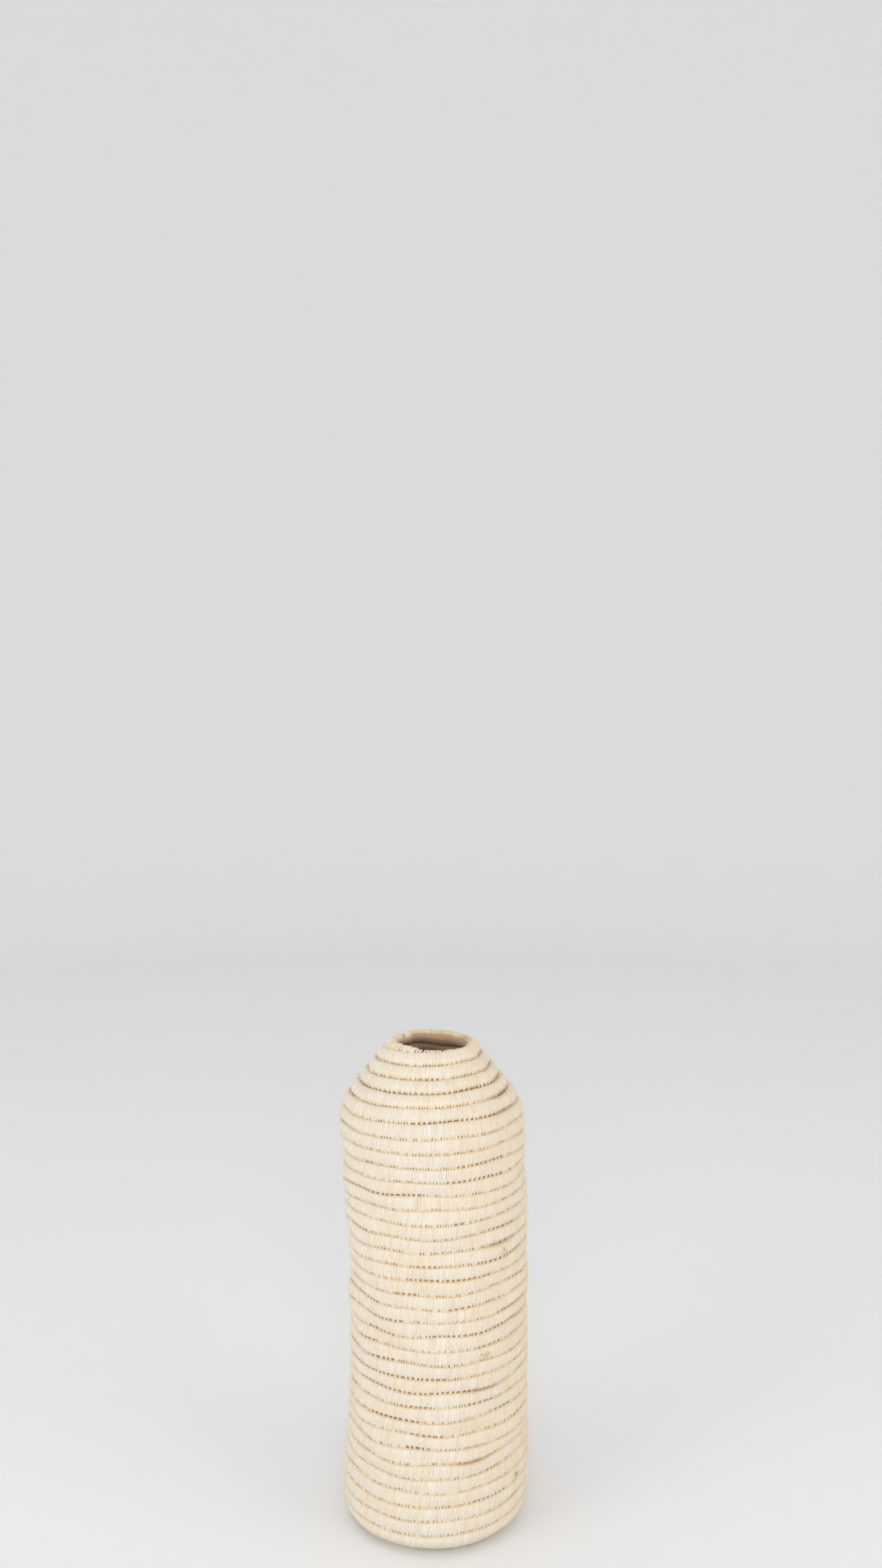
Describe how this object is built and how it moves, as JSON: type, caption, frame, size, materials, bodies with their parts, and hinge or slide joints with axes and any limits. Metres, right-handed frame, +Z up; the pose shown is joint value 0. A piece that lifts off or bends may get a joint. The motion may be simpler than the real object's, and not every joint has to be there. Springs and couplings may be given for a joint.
{
  "type": "coiled raffia vase",
  "caption": "Tall bottle-shaped vase hand-coiled from a raffia-wrapped rope: flat spiral base, straight stitched wall, rounded shoulder and narrow open mouth with the coil's tapered tail.",
  "frame": {"origin": "middle of the base, on the surface the vase stands on", "axes": "+Z up along the vase, -Y towards the front, where the tapered tail of the coil ends on the rim"},
  "size_m": [0.1212, 0.119, 0.3042],
  "materials": {
    "raffia": "matte"
  },
  "bodies": {
    "root": {"base_start": "raffia", "base_turn_01": "raffia", "base_turn_02": "raffia", "base_turn_03": "raffia", "base_turn_04": "raffia", "base_turn_05": "raffia", "wall_turn_01": "raffia", "wall_turn_02": "raffia", "wall_turn_03": "raffia", "wall_turn_04": "raffia", "wall_turn_05": "raffia", "wall_turn_06": "raffia", "wall_turn_07": "raffia", "wall_turn_08": "raffia", "wall_turn_09": "raffia", "wall_turn_10": "raffia", "wall_turn_11": "raffia", "wall_turn_12": "raffia", "wall_turn_13": "raffia", "wall_turn_14": "raffia", "wall_turn_15": "raffia", "wall_turn_16": "raffia", "wall_turn_17": "raffia", "wall_turn_18": "raffia", "wall_turn_19": "raffia", "wall_turn_20": "raffia", "wall_turn_21": "raffia", "wall_turn_22": "raffia", "wall_turn_23": "raffia", "wall_turn_24": "raffia", "wall_turn_25": "raffia", "wall_turn_26": "raffia", "wall_turn_27": "raffia", "wall_turn_28": "raffia", "shoulder_turn_01": "raffia", "shoulder_turn_02": "raffia", "shoulder_turn_03": "raffia", "shoulder_turn_04": "raffia", "neck_turn_01": "raffia", "neck_turn_02": "raffia", "rim_turn": "raffia", "rim_tail": "raffia"}
  },
  "joints": []
}
